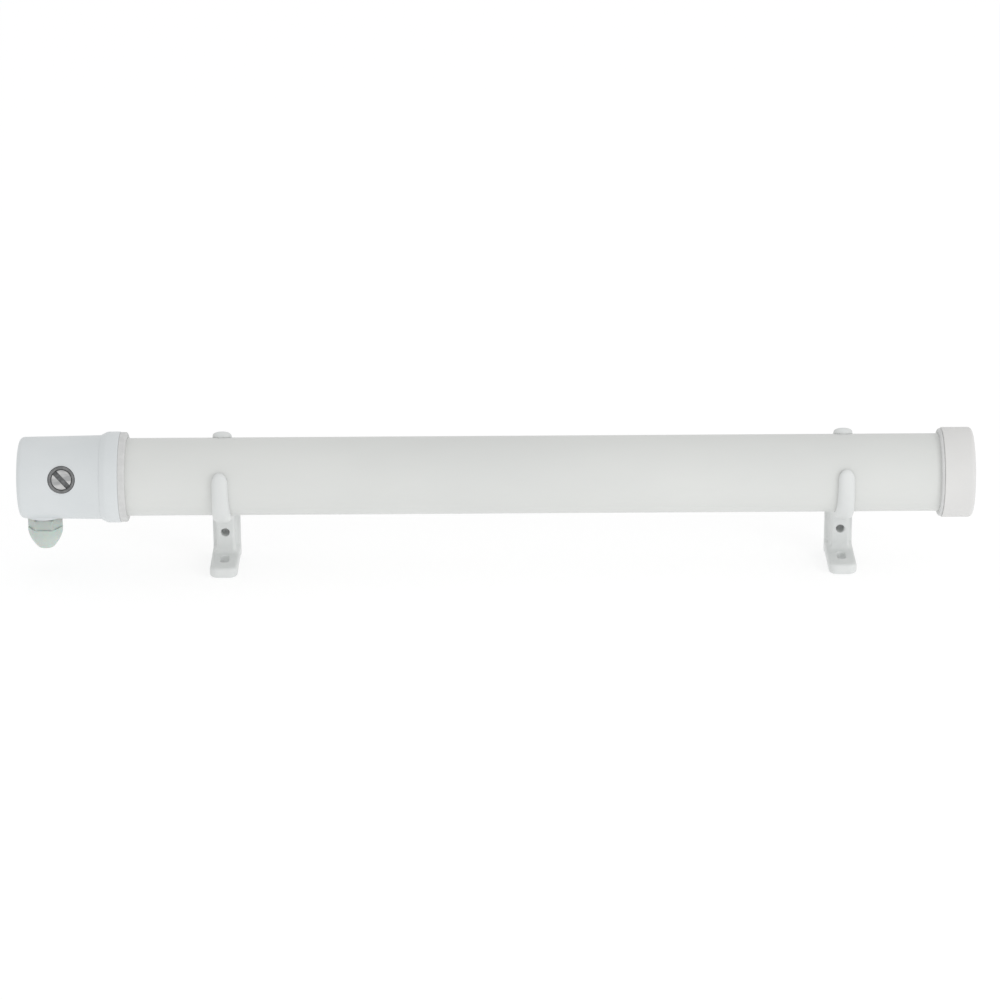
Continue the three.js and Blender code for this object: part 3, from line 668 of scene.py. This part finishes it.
def clip(x, y, z):
    """Distance to the C-clip, bore left uncut. Angles run from the front up over the tube, and those past
    225 degrees count back from the front. The section is crowned outside: the crown falls to the edge as a
    power of the share of the half width. The half width eases from CLIP_HALF at the back to TIP_HALF at the
    front finger, and the crown thins to the upper arm's tip. In plan both tips are rounded: the length left
    to a tip shrinks as on a circle with the distance from the middle line."""
    out = np.hypot(y, z)
    angle = np.arctan2(z, -y) % (2 * np.pi)
    on_finger = angle - 2 * np.pi * (angle > np.pi * 1.25)
    gap_middle = (FINGER_TOP + ARM_TOP) / 2
    ease = np.clip((on_finger - NARROW_FROM) / NARROW_OVER, 0, 1) * (on_finger < gap_middle)
    half = CLIP_HALF - (CLIP_HALF - TIP_HALF) * ease * ease * (3 - 2 * ease)
    share = np.clip(np.abs(x) / (half + 0.2), 0, 1)
    to_arm_tip = np.clip((ARM_TOP + THIN_OVER - angle) / THIN_OVER, 0, 1)
    thinner = ARM_THINNING * to_arm_tip * (on_finger > gap_middle)
    rise = (1 - share**CROWN_SQUARENESS) ** CROWN_FULLNESS
    crown = CLIP_EDGE + (CLIP_OUTER - CLIP_EDGE - thinner) * rise
    section = trim(out - crown, np.abs(x) - half, CLIP_SIDE_EDGE)
    roundness = 1 - np.sqrt(1 - 0.98 * share**2)
    past_finger = CLIP_OUTER * (on_finger - FINGER_TOP) + FINGER_ROUND * roundness
    past_arm = CLIP_OUTER * (ARM_TOP - angle) + ARM_ROUND * roundness
    past_tip = np.where(on_finger < gap_middle, past_finger, past_arm)
    return trim(section, past_tip, TIP_EDGE)


def moulding(x, y, z):
    """Distance to the whole bracket: plate, foot and pad run into each other and into the clip with fillets,
    and the tube's bore, the wall screw's hole and the floor screw's slot are taken out. The sides, the back
    and the foot's base are cut flat last."""
    plate = block(x, y, z, (-BRACKET_HALF, PLATE_FRONT, -AXIS_Z), (BRACKET_HALF, BACK_PLANE, PLATE_TOP),
                  PLATE_EDGE)
    corner = np.where(y < 0, FOOT_CORNER, BACK_CORNER)
    middle_y = (FOOT_FRONT + BACK_PLANE) / 2
    past_x = np.abs(x) - BRACKET_HALF + corner
    past_y = np.abs(y - middle_y) - (BACK_PLANE - FOOT_FRONT) / 2 + corner
    within = np.minimum(np.maximum(past_x, past_y), 0)
    plan = np.hypot(np.maximum(past_x, 0), np.maximum(past_y, 0)) + within - corner
    level = np.abs(z - (FOOT_TOP - FOOT_THICKNESS / 2)) - FOOT_THICKNESS / 2
    foot = trim(plan, level, FOOT_EDGE)
    pad = block(x, y, z, (-PAD_HALF, PAD_FRONT, FOOT_TOP - 3), (PAD_HALF, PLATE_FRONT + 2, -6), PAD_EDGE)
    spine = trim(meet(pad, clip(x, y, z), THROAT_FILLET), np.abs(x) - CLIP_HALF, SPINE_EDGE)
    body = meet(meet(plate, foot, FOOT_FILLET), spine, SPINE_FILLET)
    body = trim(body, CLIP_BORE_R - np.hypot(y, z), BORE_EDGE)
    wall_hole = FIXING_HOLE_R - np.hypot(x, z - WALL_HOLE_Z)
    body = np.where(y > PAD_FRONT - HOLE_REGION, trim(body, wall_hole, HOLE_EDGE), body)
    floor_slot = FIXING_HOLE_R - np.hypot(x, np.maximum(np.abs(y - SLOT_MIDDLE_Y) - SLOT_REACH, 0))
    body = np.where(z < FOOT_TOP + HOLE_REGION, trim(body, floor_slot, HOLE_EDGE), body)
    body = np.maximum(body, np.abs(x) - BRACKET_HALF)
    return np.maximum(body, np.maximum(y - BACK_PLANE, -AXIS_Z - z))


def skin(field, low, high, step):
    """Points and faces of the surface where a field of distances is zero. Space is cut into cubes; each
    cube that the surface crosses gets the mean of the crossings on its edges as its point, which is then
    moved along the field's slope until the field is zero there, and each crossed edge gets a face between
    its four cubes."""
    grid = [np.arange(a, b + step, step) for a, b in zip(low, high)]
    value = field(*np.meshgrid(*grid, indexing="ij"))
    inside = value < 0
    shape = tuple(n - 1 for n in value.shape)
    corners = [(a, b, c) for a in (0, 1) for b in (0, 1) for c in (0, 1)]

    def at(array, corner):
        return array[tuple(slice(o, o + n) for o, n in zip(corner, shape))]

    count = sum(at(inside, corner).astype(np.int8) for corner in corners)
    cells = np.argwhere((count > 0) & (count < 8))
    number = np.full(shape, -1, np.int64)
    number[tuple(cells.T)] = np.arange(len(cells))
    total, crossings = np.zeros((len(cells), 3)), np.zeros(len(cells))
    for corner in corners:
        for axis in range(3):
            if corner[axis]:
                continue
            there = tuple(o + (k == axis) for k, o in enumerate(corner))
            start = value[tuple((cells + corner).T)]
            end = value[tuple((cells + there).T)]
            crossed = (start < 0) != (end < 0)
            share = np.where(crossed, start / np.where(crossed, start - end, 1), 0)
            point = cells + np.array(corner) + share[:, None] * np.eye(3)[axis]
            total += np.where(crossed[:, None], point, 0)
            crossings += crossed
    points = np.array([g[0] for g in grid]) + total / crossings[:, None] * step
    nudge = step * 0.1
    for _ in range(SKIN_PASSES):
        slope = np.stack([
            (field(*(points + nudge * d).T) - field(*(points - nudge * d).T)) / (2 * nudge)
            for d in np.eye(3)
        ], 1)
        steep = np.maximum((slope**2).sum(1), 0.05)
        move = slope * (field(*points.T) / steep)[:, None]
        points -= np.clip(move, -step / 3, step / 3)
    faces = []
    for axis in range(3):
        one, two = (axis + 1) % 3, (axis + 2) % 3
        here = np.moveaxis(inside, axis, 0)
        change = np.moveaxis(here[:-1] != here[1:], 0, axis)
        edges = np.argwhere(change)
        keep = (edges[:, one] > 0) & (edges[:, two] > 0)
        keep &= (edges[:, one] < shape[one]) & (edges[:, two] < shape[two])
        edges = edges[keep]
        unit_one, unit_two = np.eye(3, dtype=int)[one], np.eye(3, dtype=int)[two]
        ring_of_cells = [edges - unit_one - unit_two, edges - unit_two, edges, edges - unit_one]
        quad = np.stack([number[tuple(c.T)] for c in ring_of_cells], 1)
        outward = inside[tuple(edges.T)]
        faces.append(np.where(outward[:, None], quad, quad[:, ::-1]))
    return points, np.concatenate(faces)


bracket_points, bracket_faces = skin(
    moulding,
    (-BRACKET_HALF - SKIN_MARGIN, -CLIP_OUTER - SKIN_MARGIN, -AXIS_Z - SKIN_MARGIN),
    (BRACKET_HALF + SKIN_MARGIN, BACK_PLANE + SKIN_MARGIN, CLIP_OUTER + SKIN_MARGIN),
    SKIN_STEP)
bracket_plastic = moulded("bracket_plastic", (0.685, 0.701, 0.696), (0.713, 0.729, 0.722), (0.38, 0.48),
                          Specular_IOR_Level=0.35)
for side, body in (("left", "left_support"), ("right", "right_support")):
    low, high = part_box(f"{side}_bracket")
    middle_x = (low.x + high.x) / 2 / MM
    bracket = add_piece(f"{side}_clip_bracket", bracket_points, bracket_faces,
                        (np.array([middle_x, 0, AXIS_Z]), np.eye(3)), 60)
    fit(bracket, bracket_plastic, body, "bracket_plastic", f"{side}_bracket")


# ------------------------------------------------------------ Rear fixing screws
# Two plated self-tapping screws with domed heads and cross recesses. They are sunk in the backs of the
# housing's collar and the end cap, and go through into the tube.

plated = material("zinc_plate", Metallic=1.0)
tint(plated, speckle(plated, 500, 4), (0.45, 0.46, 0.47), (0.60, 0.61, 0.62))
gloss(plated, speckle(plated, 300, 3), 0.22, 0.4)
relief(plated, (speckle(plated, 1500, 2), 0.00001))
SCREW_TIP, SHANK_R, HEAD_R, HEAD_BASE = 19, 1.45, 3.2, SCREW_HEAD_SEAT + 0.3
CROSS_HALF_LENGTH, CROSS_HALF_WIDTH = 1.6, 0.35
CROSS_FLOOR, CROSS_CUT_TOP = SCREW_HEAD_SEAT + 0.9, SCREW_HEAD_SEAT + 3
for end, x in (("housing", HOUSING_SCREW_X), ("end_cap", CAP_SCREW_X)):
    screw_seat = seat(x, REAR)
    screw = turned(f"{end}_rear_screw", [
        [SCREW_TIP, 0],
        [SCREW_TIP + 1, 1.3],
        [HEAD_BASE, SHANK_R],
        [HEAD_BASE, HEAD_R - 0.2],
        [SCREW_HEAD_SEAT + 0.5, HEAD_R],
        *arc(SCREW_HEAD_SEAT + 0.5, 1.5, 1.7, 78, 20, 6)[1:-1],
        [SCREW_HEAD_SEAT + 1.8, 1.0],
        [SCREW_HEAD_SEAT + 1.85, 0],
    ], screw_seat, 64)
    for y, z in ((CROSS_HALF_LENGTH, CROSS_HALF_WIDTH), (CROSS_HALF_WIDTH, CROSS_HALF_LENGTH)):
        joined(screw, bar((CROSS_FLOOR, -y, -z), (CROSS_CUT_TOP, y, z), screw_seat), "DIFFERENCE")
    softened(screw, 0.05)
    fit(screw, plated, "heater", "plated_steel", f"{end}_fixing_screw")


# ------------------------------------------------------------ Parts inside the tube and housing
# The electrical parts, the carrier, the element with its supports, the leads and the gland's lock nut lie
# inside. The frame's own solids show them in full; here each gets the finish of what it is made of.


def inner_finish(name, low, high, roughness, scale=200, **values):
    """A plain finish for a hidden piece: two close tones in a fine mottle, with a little relief."""
    made = material(name, **values)
    tint(made, speckle(made, scale, 3), low, high)
    gloss(made, speckle(made, scale * 2, 2), *roughness)
    relief(made, (speckle(made, scale * 6, 2), 0.00002))
    return made


phenolic = inner_finish("phenolic_moulding", (0.012, 0.012, 0.012), (0.03, 0.028, 0.028), (0.4, 0.6))
natural_nylon = inner_finish("terminal_nylon", (0.72, 0.70, 0.62), (0.80, 0.78, 0.70), (0.4, 0.55))
brass = inner_finish("turned_brass", (0.50, 0.32, 0.08), (0.66, 0.46, 0.16), (0.25, 0.4), 400, Metallic=1.0)
sheath = inner_finish("element_sheath", (0.20, 0.17, 0.14), (0.34, 0.31, 0.28), (0.3, 0.5), 90, Metallic=1.0)
steatite = inner_finish("steatite_bush", (0.74, 0.68, 0.56), (0.84, 0.79, 0.68), (0.6, 0.8))
brown = inner_finish("brown_sleeve", (0.09, 0.03, 0.012), (0.13, 0.05, 0.02), (0.45, 0.6))
blue = inner_finish("blue_sleeve", (0.015, 0.08, 0.30), (0.03, 0.11, 0.38), (0.45, 0.6))
green = inner_finish("green_sleeve", (0.06, 0.24, 0.03), (0.55, 0.55, 0.03), (0.45, 0.6), 60)
inner_finishes = {
    "phenolic": phenolic, "terminal_nylon": natural_nylon, "brass": brass,
    "sheath_steel": sheath, "ceramic": steatite, "brown_sleeve": brown, "blue_sleeve": blue,
    "green_sleeve": green, "plated_steel": plated, "gland_nylon": nylon,
}
for row in frame["record"]["subparts"]:
    node = frame["nodes"][row["node"]]
    if node.hide_render:
        continue
    node.data.materials.clear()
    node.data.materials.append(inner_finishes[row["material_slot"]])
